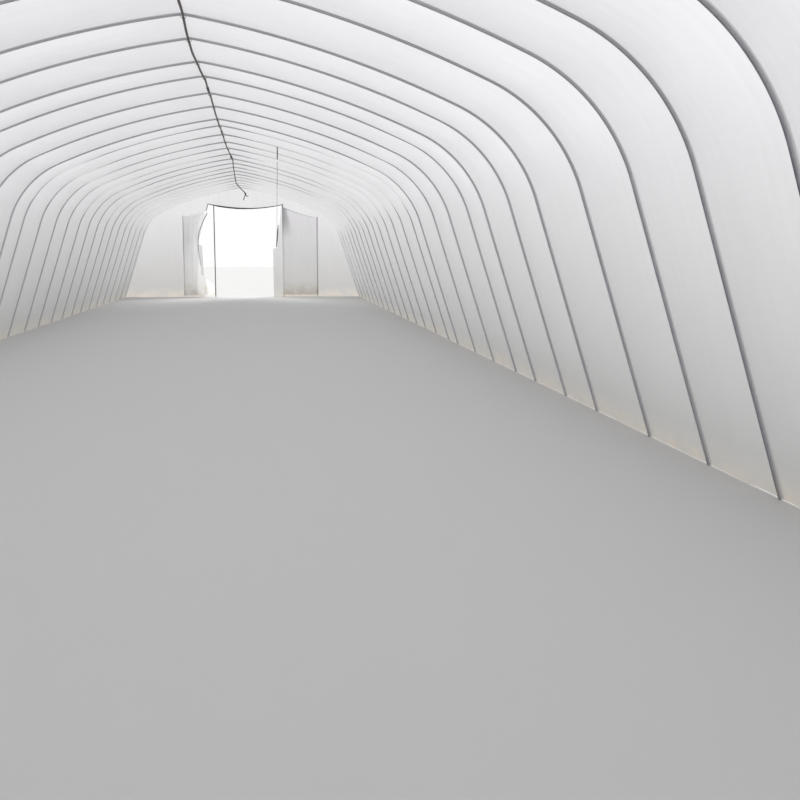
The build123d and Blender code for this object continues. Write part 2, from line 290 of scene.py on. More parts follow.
hoop_zinc = metal_material(
    "hoop_zinc",
    dull=(0.135, 0.135, 0.162, 1.0), bright=(0.230, 0.230, 0.264, 1.0), rust=(0.20, 0.12, 0.08, 1.0),
    roughness=0.52, metallic=0.35, rust_height=0.30, coat=hoop_painted_light_and_paling,
)
for name, node in nodes.items():
    if name.startswith("hoops_"):
        apply_material(node, hoop_zinc)


# Ridge purlin: one dark steel tube in spliced lengths, wired up under the peaks of the first 22 hoops.
# It wavers from tie to tie. Past its last tie the loose end droops, curls aside and ends in a knot of wire.
def grid_piece(name, points, along=None, across=None, painted_light_wrap=False):
    """Mesh over a grid of points (rows, columns, xyz), with its UV map in metres where lengths are given.

    Each face joins four neighbours on the grid; wrap joins the last column to the first.
    """
    rows, columns = points.shape[:2]
    order = np.arange(rows * columns).reshape(rows, columns)
    if painted_light_wrap:
        order = np.column_stack([order, order[:, :1]])
    corners = [order[:-1, :-1], order[:-1, 1:], order[1:, 1:], order[1:, :-1]]
    faces = np.stack(corners, axis=-1).reshape(-1, 4)
    mesh = bpy.data.meshes.new(name)
    mesh.vertices.add(rows * columns)
    mesh.vertices.foreach_set("co", points.reshape(-1).astype(np.float32))
    mesh.loops.add(faces.size)
    mesh.loops.foreach_set("vertex_index", faces.reshape(-1).astype(np.int32))
    mesh.polygons.add(len(faces))
    mesh.polygons.foreach_set("loop_start", (np.arange(len(faces)) * 4).astype(np.int32))
    mesh.update(calc_edges=True)
    mesh.polygons.foreach_set("use_smooth", np.ones(len(faces), dtype=bool))
    if along is not None:
        uv = np.stack(np.broadcast_arrays(across, along), axis=-1).reshape(-1, 2)
        layer = mesh.uv_layers.new(name="film_run")
        layer.data.foreach_set("uv", uv[faces.reshape(-1)].reshape(-1).astype(np.float32))
    piece = bpy.data.objects.new(name, mesh)
    bpy.context.scene.collection.objects.link(piece)
    return piece


def join_pieces(name, parts):
    """One piece from several, with their meshes gathered into the first."""
    with bpy.context.temp_override(
        active_object=parts[0], selected_editable_objects=parts, selected_objects=parts, object=parts[0]
    ):
        bpy.ops.object.join()
    parts[0].name = name
    parts[0].data.name = name
    return parts[0]


def tube(name, path, radius, sides):
    """Round bar along a path of points: a ring of the given radius, square to the path, at every point."""
    path = np.asarray(path, dtype=float)
    tangent = np.gradient(path, axis=0)
    tangent /= np.linalg.norm(tangent, axis=1, keepdims=True)
    helper = np.eye(3)[np.argmin(np.abs(tangent).max(axis=0))]
    normal = np.cross(tangent, helper)
    normal /= np.linalg.norm(normal, axis=1, keepdims=True)
    binormal = np.cross(tangent, normal)
    angle = np.linspace(0, 2 * np.pi, sides, endpoint=False)[None, :, None]
    radius = np.broadcast_to(radius, len(path))[:, None, None]
    ring = np.cos(angle) * normal[:, None] + np.sin(angle) * binormal[:, None]
    points = path[:, None] + radius * ring
    first_end = np.repeat(path[:1, None], sides, 1)
    last_end = np.repeat(path[-1:, None], sides, 1)
    piece = grid_piece(name, np.concatenate([first_end, points, last_end]), painted_light_wrap=True)
    piece.data.validate()
    return piece


def soften(line, times):
    """Points of a line, each but the two ends averaged with its neighbours so many times."""
    for _ in range(times):
        line[1:-1] = 0.25 * line[:-2] + 0.5 * line[1:-1] + 0.25 * line[2:]
    return line


def smooth_path(corners, count, times):
    """Points along straight runs between corners, evenly spaced and then softened."""
    corners = np.asarray(corners, dtype=float)
    reach = np.concatenate([[0], np.cumsum(np.linalg.norm(np.diff(corners, axis=0), axis=1))])
    at = np.linspace(0, reach[-1], count)
    return soften(np.stack([np.interp(at, reach, corners[:, k]) for k in range(3)], axis=1), times)


def winding(name, centre, way, radius, wire, turns, pitch, phase=0.0):
    """Wire wound round a bar: a helix of so many turns about the line through centre along way."""
    way = np.asarray(way, dtype=float) / np.linalg.norm(way)
    askew = (0.31, 0.17, 0.93)
    side = np.cross(way, askew)
    side /= np.linalg.norm(side)
    up = np.cross(way, side)
    angle = np.linspace(0, 2 * np.pi * turns, int(11 * turns) + 1) + phase
    lift = (np.arange(len(angle)) / (len(angle) - 1) - 0.5) * pitch * turns
    circle = np.outer(np.cos(angle), side) + np.outer(np.sin(angle), up)
    return tube(name, np.asarray(centre) + radius * circle + np.outer(lift, way), wire, 6)


half_length = 13.65
bay = 0.91
bay_count = 30
tied_hoops = 22
hoop_radius = 0.009
purlin_radius = 0.009
purlin_slack = 0.013
hoop_ends = [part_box(name) for name in sorted(nodes) if name.startswith("hoops_")]
hoop_pairs = [[low[1] + hoop_radius, high[1] - hoop_radius] for low, high in hoop_ends]
hoop_y = np.array(hoop_pairs).reshape(-1)[: bay_count + 1]
purlin_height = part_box("ridge_purlin")[1][2] - purlin_radius
tie_y = hoop_y[:tied_hoops]

# The tube's wavers: places along the tunnel, each with how far the tube strays to the right there.
purlin_wavers = [
    (-13.6, 0.0), (-12.2, 0.006), (-11.0, -0.004), (-9.6, 0.007), (-8.4, -0.006), (-7.2, 0.008),
    (-6.3, 0.016), (-5.8, 0.016), (-5.3, 0.001), (-4.7, -0.014), (-4.3, -0.016), (-3.8, -0.009),
    (-3.4, -0.001), (-2.9, 0.012), (-2.3, 0.007), (-1.7, 0.008), (-0.8, -0.003), (0.2, -0.008),
    (1.2, -0.004), (2.2, -0.010), (3.0, -0.011), (4.2, 0.0), (5.46, 0.012),
]
waver_y, waver_x = np.array(purlin_wavers).T
midway_y = (tie_y[:-1] + tie_y[1:]) / 2
slack_y = np.sort(np.concatenate([tie_y, midway_y]))
slack_z = np.where(np.isin(slack_y, midway_y), -purlin_slack, 0.0)
run_y = np.linspace(-half_length - hoop_radius, tie_y[-1], 420)
run_x = np.interp(run_y, waver_y, waver_x)
run = soften(np.stack([run_x, run_y, purlin_height + np.interp(run_y, slack_y, slack_z)], axis=1), 14)

# The loose end: places across and along the tunnel, each with its drop below the tied tube.
loose_places = [(0.0, 6.03, 0.036), (0.004, 7.56, 0.256), (0.036, 7.62, 0.30), (0.183, 7.68, 0.45)]
loose_line = [run[-1]] + [(x, y, purlin_height - fall) for x, y, fall in loose_places]
purlin_path = np.concatenate([run, smooth_path(loose_line, 110, 3)[1:]])
purlin_tube = tube("ridge_purlin_tube", purlin_path, purlin_radius, 16)
purlin_steel = metal_material(
    "purlin_steel",
    dull=(0.070, 0.072, 0.077, 1.0), bright=(0.150, 0.153, 0.160, 1.0), rust=(0.10, 0.055, 0.035, 1.0),
    roughness=0.55, metallic=0.25,
)
apply_material(purlin_tube, purlin_steel)
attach(purlin_tube, "tunnel")
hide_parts("ridge_purlin")

tie_set_back = 0.002
tie_parts = []
for number, y in enumerate(tie_y):
    centre = (float(np.interp(y, run[:, 1], run[:, 0])), y + tie_set_back, purlin_height + purlin_radius)
    tie_parts.append(winding("tie", centre, (0.0, 1.0, 0.25), 0.0200, 0.0016, 2.2, 0.005, phase=number))
ridge_ties = join_pieces("ridge_ties", tie_parts)
tie_wire = metal_material(
    "tie_wire",
    dull=(0.030, 0.030, 0.032, 1.0), bright=(0.070, 0.068, 0.066, 1.0), rust=(0.10, 0.05, 0.03, 1.0),
    roughness=0.6, metallic=0.3,
)
apply_material(ridge_ties, tie_wire)
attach(ridge_ties, "tunnel")

# Splices: each sleeve's place along the tunnel, its length and its radius. The last one is thick.
thin = 0.0122
thick = 0.0165
sleeve_lip = 0.0012
splice_parts = []
for y, length, radius in (
    (-10.62, 0.22, thin), (-6.98, 0.24, thin), (-2.43, 0.20, thin), (1.21, 0.24, thin), (4.90, 0.30, thick)
):
    at = np.linspace(y - length / 2, y + length / 2, 12)
    sleeve = np.stack([np.interp(at, run[:, 1], run[:, 0]), at, np.interp(at, run[:, 1], run[:, 2])], axis=1)
    flare = radius + sleeve_lip * (np.abs(np.linspace(-1, 1, 12)) > 0.8)
    splice_parts.append(tube("splice", sleeve, flare, 16))
purlin_splices = join_pieces("purlin_splices", splice_parts)
apply_material(purlin_splices, purlin_steel)
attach(purlin_splices, "tunnel")

# The knot at the tube's end: a bent tail, a barb and a few turns of wire, placed from the end itself.
knot_place = purlin_path[-1]
tail_bends = np.array([
    (-0.02, -0.004, 0.022), (0.012, 0, -0.006), (-0.012, 0.004, -0.055),
    (-0.030, 0.01, -0.095), (-0.038, 0.012, -0.135),
])
barb_bends = np.array([(-0.004, 0, -0.03), (0.022, 0.004, -0.05), (0.052, 0.006, -0.066)])
tail_radius = 0.0085
barb_radius = 0.0070
knot_parts = [
    tube("hook", smooth_path(knot_place + tail_bends, 30, 3), tail_radius, 8),
    tube("hook", smooth_path(knot_place + barb_bends, 16, 2), barb_radius, 8),
    winding("hook", knot_place + (-0.004, 0, -0.012), (0.5, 0.1, -0.7), 0.0125, 0.0030, 3, 0.006),
]
end_knot = join_pieces("purlin_end_knot", knot_parts)
apply_material(end_knot, tie_wire)
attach(end_knot, "tunnel")


# Drop wire: a stiff steel wire that hangs from one hoop and ends in the air over the crop, in a small eye.
# Its top is bound thick with wire and looped over the hoop; below that it is twisted double for a stretch.
wire_radius = 0.0018
strand_radius = 0.0016
binding_wire = 0.0017
drop_lean = np.radians(1.2)
drop_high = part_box("drop_wire")[1]
drop_top = np.array([drop_high[0] - 0.008, hoop_y[17], drop_high[2]])
drop_way = np.array([-np.sin(drop_lean), 0.0, -np.cos(drop_lean)])
twist_middle = drop_top + 0.375 * drop_way
drop_parts = [
    winding("binding", drop_top + 0.082 * drop_way, drop_way, 0.0062, binding_wire, 46, 0.0034, phase=1.0),
    winding("twist", twist_middle, drop_way, strand_radius, strand_radius, 22, 0.0165),
    winding("twist", twist_middle, drop_way, strand_radius, strand_radius, 22, 0.0165, phase=np.pi),
    tube("wire", [drop_top + length * drop_way for length in (0.55, 0.80, 1.10, 1.375)], wire_radius, 8),
    winding("end_eye", drop_top + 1.366 * drop_way, (1.0, 0.0, 0.1), 0.0060, 0.0015, 1.3, 0.0045),
    winding("loop", drop_top + (0.0, 0.0, 0.0100), (0.97, 0.0, -0.25), 0.0128, binding_wire, 2.4, 0.0045),
]
drop_strands = join_pieces("drop_wire_strands", drop_parts)
apply_material(drop_strands, tie_wire)
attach(drop_strands, "tunnel")
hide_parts("drop_wire")


# Cover: one long sheet of milky polyethylene drawn tight over every hoop from ground to ground.
# Between hoops it pulls inwards in a shallow saddle, with soft creases that run to the feet.
# Dust lies on it in clouds and streaks, soil is splashed on its foot, and a line of dirt and painted shade
# follows each hoop. It is painted darker towards the ground and greyer towards the far end: painted shade,
# with some dust in the far grey.
leg_lean = np.radians(18.1)
leg_length = 1.650
shoulder_radius = 1.075
shoulder_turn = np.radians(47.9)
rafter_radius = 7.530
half_span = 3.0
knee = np.array([half_span - leg_length * np.sin(leg_lean), leg_length * np.cos(leg_lean)])
shoulder_centre = knee - shoulder_radius * np.array([np.cos(leg_lean), np.sin(leg_lean)])
rafter_start = leg_lean + shoulder_turn
rafter_out = np.array([np.cos(rafter_start), np.sin(rafter_start)])
rafter_centre = shoulder_centre + (shoulder_radius - rafter_radius) * rafter_out
ridge_turn = np.arccos(-rafter_centre[0] / rafter_radius)
shoulder_length = shoulder_radius * shoulder_turn
shoulder_end = leg_length + shoulder_length
half_section = shoulder_end + rafter_radius * (ridge_turn - rafter_start)


def section_point(reach, outset):
    """Point of the right half section at this length from the foot, moved outset along the outward normal.

    Straight leg, then an arc about the shoulder centre, then an arc about the rafter centre. The normal's
    angle above level is the lean of the leg, and grows with length over the shoulder and over the rafter.
    """
    shoulder_part = np.clip(reach - leg_length, 0, shoulder_length) / shoulder_radius
    rafter_part = np.clip(reach - leg_length - shoulder_length, 0, None) / rafter_radius
    angle = leg_lean + shoulder_part + rafter_part
    out = np.stack([np.cos(angle), np.sin(angle)], axis=-1)
    leg = np.stack([half_span - reach * np.sin(leg_lean), reach * np.cos(leg_lean)], axis=-1)
    on_shoulder = shoulder_centre + shoulder_radius * out
    on_rafter = rafter_centre + rafter_radius * out
    past_knee = (reach > leg_length)[..., None]
    past_shoulder = (reach > shoulder_end)[..., None]
    line = np.where(past_shoulder, on_rafter, np.where(past_knee, on_shoulder, leg))
    return line + np.asarray(outset)[..., None] * out


def ripple(first, second, terms, seed):
    """Mean of sine waves over two lengths, each with its own direction, pitch and start, within -1 to 1."""
    waves = np.random.default_rng(seed)
    total = np.zeros(np.broadcast(first, second).shape)
    for pitch_first, pitch_second in terms:
        start = waves.uniform(0, 2 * np.pi)
        total = total + np.sin(2 * np.pi * (first / pitch_first + second / pitch_second) + start)
    return total / len(terms)


def ramp(values, nothing, full):
    """Even growth from zero at the first of two values to one at the second, held at both ends."""
    return np.clip((values - nothing) / (full - nothing), 0, 1)


film_gap = 0.0016
end_overlap = 0.0035
bay_steps = np.array(
    [0, 0.014, 0.035, 0.07, 0.13, 0.22, 0.33, 0.44, 0.56, 0.67, 0.78, 0.87, 0.93, 0.965, 0.986]
)
bay_rows = (hoop_y[:-1, None] + np.diff(hoop_y)[:, None] * bay_steps).reshape(-1)
cover_end = half_length + hoop_radius + end_overlap
cover_y = np.concatenate([[-cover_end], bay_rows, [half_length, cover_end]])
last_bay = bay_count - 1
bay_number = np.concatenate([[0], np.repeat(np.arange(bay_count), len(bay_steps)), [last_bay, last_bay]])
across_bay = np.concatenate([[0.0], np.tile(bay_steps, bay_count), [1.0, 1.0]])
half_reach = np.linspace(0, half_section, 58)
cover_reach = np.concatenate([half_reach, half_section + half_reach[1:]])
right_half = cover_reach <= half_section
side = np.where(right_half, 1.0, -1.0)
from_foot = np.where(right_half, cover_reach, 2 * half_section - cover_reach)

# The sag between hoops is deepest at the shoulder, and shallow at the foot and the ridge.
leg_sag = 0.030
shoulder_more = 0.026
rafter_more = 0.014
bend = ramp(from_foot, leg_length, leg_length + 0.35) * ramp(from_foot, shoulder_end + 0.5, shoulder_end)
foot_hold = np.clip(from_foot / 0.5, 0.15, 1)
ridge_hold = 1 - 0.5 * np.exp(-(((half_section - from_foot) / 0.35) ** 2))
sag_depth = leg_sag + shoulder_more * bend + rafter_more * ramp(from_foot, 2.4, 3.0)
bay_play = np.random.default_rng(7).uniform(0.78, 1.22, (bay_count, 1))
saddle = 1 - np.abs(2 * across_bay - 1) ** 1.9
drop = saddle[:, None] * sag_depth * foot_hold * ridge_hold * bay_play[bay_number]

# Broad creases run over the whole sheet, and a finer flutter is added over the lowest stretch.
crease_waves = [(2.6, 0.83), (1.7, -1.21), (0.9, 0.61), (5.0, 0.37)]
flutter_waves = [(9.0, 0.19), (-6.0, 0.27), (4.0, 0.31)]
crease_depth = saddle[:, None] * (0.0035 + 0.004 * ramp(from_foot, 0.6, 0.0))
creases = ripple(from_foot * side, cover_y[:, None], crease_waves, 11)
flutter = ripple(from_foot * side, cover_y[:, None], flutter_waves, 12) * 0.5 * ramp(from_foot, 1.2, 0.0)
outset = hoop_radius + film_gap - drop + crease_depth * (creases + flutter)
ridge_dip = 0.004 * ramp(np.abs(cover_reach - half_section), 0.12, 0.0) ** 2
on_section = section_point(np.broadcast_to(from_foot, outset.shape), outset)
cover_x = on_section[..., 0] * side
cover_z = np.maximum(on_section[..., 1], 0.0) - ridge_dip
cover_points = np.stack(np.broadcast_arrays(cover_x, cover_y[:, None], cover_z), axis=-1)
cover_run = ((bay_number + across_bay) * bay)[:, None]
cover = grid_piece("cover_film", cover_points, along=cover_run, across=cover_reach[None, :])

haze, haze_in, haze_out = new_group(
    "film_haze",
    [
        ("Vector", DIRECTION, None),
        ("Milky", COLOUR, (0.9, 0.9, 0.9, 1.0)),
        ("Dusty", COLOUR, (0.7, 0.7, 0.68, 1.0)),
        ("Dust", NUMBER, 0.3),
    ],
    [("Colour", COLOUR), ("Roughness", NUMBER), ("Height", NUMBER)],
)
haze_given = haze_in.outputs
cloud = place_group(haze, patches, {"Vector": haze_given["Vector"]}, Scale=1.3, Detail=4.0)
spots = place_group(haze, patches, {"Vector": haze_given["Vector"]}, Scale=22.0, Detail=3.0)
drawn_out = add_node(haze, "ShaderNodeMapping", {"Vector": haze_given["Vector"]})
drawn_out.inputs["Scale"].default_value = (0.35, 6.0, 1.0)
streaks = place_group(haze, patches, {"Vector": drawn_out.outputs[0]}, Scale=3.0, Detail=4.0)
dust_masks = (
    combine(haze, "MULTIPLY", cloud.outputs["Mask"], haze_given["Dust"]),
    combine(haze, "MULTIPLY", streaks.outputs["Mask"], haze_given["Dust"]),
    spread(haze, spots.outputs["Fine"], 0.66, 0.74, 0.0, 0.35),
)
tone = haze_given["Milky"]
for mask in dust_masks:
    tone = blend_colours(haze, mask, tone, haze_given["Dusty"])
haze.links.new(tone, haze_out.inputs["Colour"])
haze.links.new(spread(haze, spots.outputs["Mask"], 0.0, 1.0, 0.30, 0.46), haze_out.inputs["Roughness"])
unevenness = combine(haze, "ADD", streaks.outputs["Fine"], spots.outputs["Fine"])
haze.links.new(unevenness, haze_out.inputs["Height"])

far_grey = (0.60, 0.60, 0.60, 1.0)
splashed_soil = (0.60, 0.55, 0.48, 1.0)
contact_dirt_and_shade_grey = (0.50, 0.50, 0.49, 1.0)
near_side_shade_grey = (0.26, 0.26, 0.27, 1.0)


def soil_layer(tree, place, colour, height):
    """Soil splashed in patches over a film's colour, thick at the ground and gone at this height."""
    splash = place_group(tree, patches, {"Vector": place}, Scale=5.0, Detail=5.0)
    patchy = spread(tree, splash.outputs["Mask"], 0.0, 1.0, 0.25, 1.0)
    soiled = combine(tree, "MULTIPLY", foot_mask(tree, place, 0.0, height), patchy)
    return blend_colours(tree, soiled, colour, splashed_soil)


def hoop_dirt_and_shade(tree, flat_place, colour, strength):
    """Lines at every whole bay of the sheet: a faint line on the hoop, dirt and painted shade where the film
    meets it, and a darker one on its near side, painted shade of the film against the tube.

    The first goes by half a bay less the distance to the nearest hoop, the second by the distance past one.
    """
    along = coordinate(tree, flat_place, "Y")
    nearness = combine(tree, "PINGPONG", combine(tree, "ADD", along, bay / 2), bay / 2)
    # Dirt and painted shade in a faint line over the hoop.
    contact_dirt_and_shade = spread(tree, nearness, bay / 2 - 0.030, bay / 2 - 0.006, 0.0, strength)
    past_hoop = combine(tree, "MODULO", along, bay)
    # Painted shade on the near side of each hoop.
    near_side_shade = spread(tree, past_hoop, bay - 0.036, bay - 0.010, 0.0, 2.2 * strength)
    return blend_colours(tree, near_side_shade, blend_colours(tree, contact_dirt_and_shade, colour, contact_dirt_and_shade_grey), near_side_shade_grey)


def painted_level_shade(tree, place, colour, middle, reach, shade):
    """Painted shade in a level band, as under a fold: full at its middle height, and gone at its reach above
    and below that.
    """
    height = coordinate(tree, place, "Z")
    below = spread(tree, height, middle - reach, middle)
    above = spread(tree, height, middle, middle + reach, 1.0, 0.0)
    return blend_colours(tree, combine(tree, "MULTIPLY", below, above), colour, shade)


def painted_corner_shade(tree, flat_place, colour, shade):
    """Painted shade of a fold at the top inner corner of a sheet: narrow at the top, wider downwards, gone
    at 1.5 m.

    The shade goes by the distance from the inner edge, as a share of the fold's breadth at that height.
    """
    height = coordinate(tree, flat_place, "X")
    breadth = spread(tree, height, 1.60, 2.25, 0.26, 0.11)
    share = combine(tree, "DIVIDE", coordinate(tree, flat_place, "Y"), breadth)
    inside = spread(tree, share, 0.55, 1.10, 1.0, 0.0)
    high = spread(tree, height, 1.50, 1.98)
    return blend_colours(tree, combine(tree, "MULTIPLY", inside, high), colour, shade)


def film_material(
    name, milky, dusty, dust, glow, low_shade, soil_height,
    shade_top=1.9, far_dust_and_shade=0.0, hoop_line_dirt_and_shade=0.0, level_shade=None, corner_shade=None,
):
    """Milky film: a soft-gloss face mixed with a translucent one, with dust in clouds and soil at the foot.

    The colour turns to low_shade from shade_top down to the ground, painted shade where less light reaches,
    and far_dust_and_shade is how grey it gets towards the far end, dust and painted shade together.
    Hoop_line_dirt_and_shade is how strong the lines at the hoops are, dirt and painted shade. Level_shade is
    the middle height, reach and colour of painted shade in a level band as under a fold, and corner_shade
    the colour of painted shade of a fold in the top inner corner.
    """
    material = bpy.data.materials.new(name)
    tree = node_tree(material)
    coordinates = add_node(tree, "ShaderNodeTexCoord").outputs
    place = coordinates["Object"]
    flat_place = coordinates["UV"]
    film = place_group(tree, haze, {"Vector": flat_place}, Milky=milky, Dusty=dusty, Dust=dust)
    colour = film.outputs["Colour"]
    # Greyer towards the far end: dust, and painted shade of the hoops that crowd together there in view.
    if far_dust_and_shade:
        farness = spread(tree, coordinate(tree, place, "Y"), -9.0, 9.0, 0.0, far_dust_and_shade)
        colour = blend_colours(tree, farness, colour, far_grey)
    # Painted shade: the film turns darker towards the ground, where less light reaches it.
    colour = blend_colours(tree, foot_mask(tree, place, 0.2, shade_top), colour, low_shade)
    colour = soil_layer(tree, place, colour, soil_height)
    if hoop_line_dirt_and_shade:
        colour = hoop_dirt_and_shade(tree, flat_place, colour, hoop_line_dirt_and_shade)
    # Painted shade of a fold, in a level band.
    if level_shade:
        colour = painted_level_shade(tree, place, colour, *level_shade)
    # Painted shade of a fold in the top inner corner.
    if corner_shade:
        colour = painted_corner_shade(tree, flat_place, colour, corner_shade)
    uneven = {"Height": film.outputs["Height"]}
    bump = add_node(tree, "ShaderNodeBump", uneven, Strength=0.18, Distance=0.004)
    face_sockets = {"Base Color": colour, "Roughness": film.outputs["Roughness"], "Normal": bump.outputs[0]}
    face = add_node(tree, "ShaderNodeBsdfPrincipled", face_sockets, IOR=1.45)
    through = add_node(tree, "ShaderNodeBsdfTranslucent", {"Color": colour, "Normal": bump.outputs[0]})
    mixed = add_node(tree, "ShaderNodeMixShader", {1: face.outputs[0], 2: through.outputs[0]})
    mixed.inputs[0].default_value = glow
    add_node(tree, "ShaderNodeOutputMaterial", {"Surface": mixed.outputs[0]})
    return material


cover_milk = film_material(
    "cover_milk",
    milky=(0.90, 0.895, 0.915, 1.0), dusty=(0.78, 0.775, 0.785, 1.0), dust=0.22, glow=0.62,
    low_shade=(0.50, 0.50, 0.495, 1.0), soil_height=0.20, far_dust_and_shade=0.48, hoop_line_dirt_and_shade=0.25,
)
apply_material(cover, cover_milk)
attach(cover, "tunnel")
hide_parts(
    "film_side_left", "film_side_right", "film_shoulder_left", "film_shoulder_right",
    "film_roof_left", "film_roof_right",
)


# End walls: a sheet of the same film over each end hoop, cut open by hand for the doorway, painted darker
# than the cover as painted shade.
# Both cuts are ragged; creases pull from the lintel and the film hangs a little slack.
# A dark grey hem is rolled down from the lintel at the left cut, and a thicker dark grey roll hangs at the
# right cut, its grey painted shade of the fold that hangs there.
def arc_height(x, centre, radius):
    """Height of the upper side of a circle at this x."""
    return centre[1] + np.sqrt(np.maximum(radius**2 - (x - centre[0]) ** 2, 0))


def roof_line(x, outset):
    """Height of the hoop line, moved outset outwards, at this distance from the middle of the tunnel.

    It is the rafter's circle out to the shoulder, then the shoulder's circle out to the knee, then the leg.
    """
    x = np.abs(x)
    shoulder_edge = shoulder_centre[0] + (shoulder_radius + outset) * np.cos(rafter_start)
    knee_edge = shoulder_centre[0] + (shoulder_radius + outset) * np.cos(leg_lean)
    on_rafter = arc_height(x, rafter_centre, rafter_radius + outset)
    on_shoulder = arc_height(x, shoulder_centre, shoulder_radius + outset)
    on_leg = np.maximum((half_span + outset / np.cos(leg_lean) - x) / np.tan(leg_lean), 0)
    return np.where(x <= shoulder_edge, on_rafter, np.where(x <= knee_edge, on_shoulder, on_leg))


lintel_left = -0.870
lintel_right = 1.035
lintel_end = 2.357
lintel_sag = 0.108
lintel_middle = (lintel_left + lintel_right) / 2
lintel_half = (lintel_right - lintel_left) / 2
lintel_radius = (lintel_half**2 + lintel_sag**2) / (2 * lintel_sag)


def lintel_line(x):
    """Height of the middle of the bowed lintel: the low side of a circle through its two ends."""
    return lintel_end - lintel_sag + lintel_radius - np.sqrt(lintel_radius**2 - (x - lintel_middle) ** 2)


wall_y = half_length + hoop_radius + 0.0015
wall_reach = half_span + hoop_radius / np.cos(leg_lean)
wall_rim = hoop_radius - 0.0005
opening_left = -0.865
opening_right = 0.985
left_cut_top = (opening_left, lintel_line(opening_left))
right_cut_top = (opening_right, lintel_line(opening_right))
left_cut = np.array([(-1.000, 0.0), (-1.040, 1.302), (-1.150, 1.347), left_cut_top])
right_cut = np.array([(0.765, 0.0), (0.765, 1.235), (0.875, 1.260), (0.940, 1.877), right_cut_top])
end_turn = {"far": np.array([1.0, 1.0, 1.0]), "near": np.array([-1.0, -1.0, 1.0])}


def wall_slack(x, z):
    """How far the end film stands out: slow waves, and pulls that fan out from both ends of the lintel.

    The pulls die away with distance, and both fade to nothing at the hoop line.
    """
    rim = ramp(roof_line(x, hoop_radius) - z, 0.0, 0.35)
    waves = ripple(x, z, [(0.9, 3.0), (0.45, -2.2), (1.7, 0.8), (0.31, 4.0)], 21)
    pulls = np.zeros_like(x * z)
    for pull_x in (lintel_left, lintel_right):
        angle = np.arctan2(z - lintel_end, x - pull_x)
        distance = np.hypot(z - lintel_end, x - pull_x)
        pulls = pulls + np.sin(9 * angle + 1.3 * pull_x) * np.exp(-distance / 0.35)
    return 0.0045 * rim * (1 + waves) + 0.0030 * rim * (1 + pulls)


def over_panel():
    """Film over the doorway: columns from cut to cut, rows from the lintel's middle up to the hoop line."""
    rise = np.linspace(0, 1, 14)[None, :]
    x = np.linspace(opening_left, opening_right, 48)[:, None] * np.ones_like(rise)
    z = lintel_line(x) + (roof_line(x, wall_rim) - lintel_line(x)) * rise
    return np.stack([x, wall_y + wall_slack(x, z), z], axis=-1)


def side_panel(cut, way, rows_by_run):
    """Film beside the doorway: rows run level from the hoop line inwards to the ragged cut.

    The cut is a line of points (x, z) from the ground up; above its last point the inner edge is upright.
    """
    edge_runs = zip(cut[:-1], cut[1:], rows_by_run)
    runs = [np.linspace(low, high, count, endpoint=False) for low, high, count in edge_runs]
    head = np.array([cut[-1, 0], float(roof_line(cut[-1, 0], wall_rim))])
    inner = np.concatenate(runs + [np.linspace(cut[-1], head, 6)])
    inwards = np.linspace(0, 1, 46)[:, None]
    outer_x = way * (wall_reach - 0.001)
    x = outer_x + (inner[None, :, 0] - outer_x) * inwards
    roof = roof_line(x, wall_rim)
    z = np.minimum(roof * inner[None, :, 1] / inner[-1, 1], roof)
    z = np.minimum(z + (inner[None, :, 1] - z[-1:, :]) * inwards**3, roof)
    return np.stack([x, wall_y + wall_slack(x, z), z], axis=-1)


def end_wall(name, end):
    """The three panels of one end wall in one sheet, turned half round for the near end."""
    left_panel = side_panel(left_cut, -1.0, (26, 4, 22))
    right_panel = side_panel(right_cut, 1.0, (26, 4, 14, 12))[::-1]
    parts = []
    for panel in (left_panel, over_panel(), right_panel):
        points = (panel * end_turn[end])[::-1]
        parts.append(grid_piece(name, points, along=points[..., 0], across=points[..., 2]))
    return join_pieces(name, parts)


hem_rings = 16
hem_share = np.linspace(0, 1, hem_rings)
left_hem_top = np.array([opening_left, wall_y - 0.006, float(lintel_line(opening_left))])
left_hem_low = np.array([-0.955, wall_y - 0.006, 2.035])
left_hem_radius = np.linspace(0.0095, 0.0105, hem_rings)
right_hem_low = np.array([0.852, wall_y - 0.018, 1.275])
right_hem_top = np.array([0.905, wall_y - 0.014, 1.84])
right_hem_radius = 0.002 + 0.018 * np.sin(np.pi * (0.12 + 0.8 * hem_share)) ** 0.8


def wall_hem(start, stop, radius, sides, end):
    """Roll of cut film between two places on the far wall, turned half round for the near one."""
    return tube("hem", (start + (stop - start) * hem_share[:, None]) * end_turn[end], radius, sides)


# Dark grey for all hems; on the thick roll at the right cut it is painted shade of the fold there.
dark_hem = metal_material(
    "dark_hem",
    dull=(0.20, 0.20, 0.205, 1.0), bright=(0.32, 0.32, 0.325, 1.0), rust=(0.2, 0.2, 0.2, 1.0),
    roughness=0.6, metallic=0.0,
)
# The end walls' film is a darker copy of the cover's: painted shade, and darker still towards the ground.
shaded_wall_milk = film_material(
    "shaded_wall_milk",
    milky=(0.66, 0.655, 0.665, 1.0), dusty=(0.59, 0.585, 0.59, 1.0), dust=0.30, glow=0.62,
    low_shade=(0.46, 0.46, 0.455, 1.0), soil_height=0.30, shade_top=2.2,
)
for end in ("far", "near"):
    wall = end_wall(f"end_wall_film_{end}", end)
    apply_material(wall, shaded_wall_milk)
    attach(wall, "tunnel")
    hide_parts(f"end_film_{end}_left", f"end_film_{end}_right", f"end_film_{end}_over")
    hems = [
        wall_hem(left_hem_top, left_hem_low, left_hem_radius, 8, end),
        wall_hem(right_hem_low, right_hem_top, right_hem_radius, 10, end),
    ]
    wall_hems = join_pieces(f"end_wall_hems_{end}", hems)
    apply_material(wall_hems, dark_hem)
    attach(wall_hems, "tunnel")


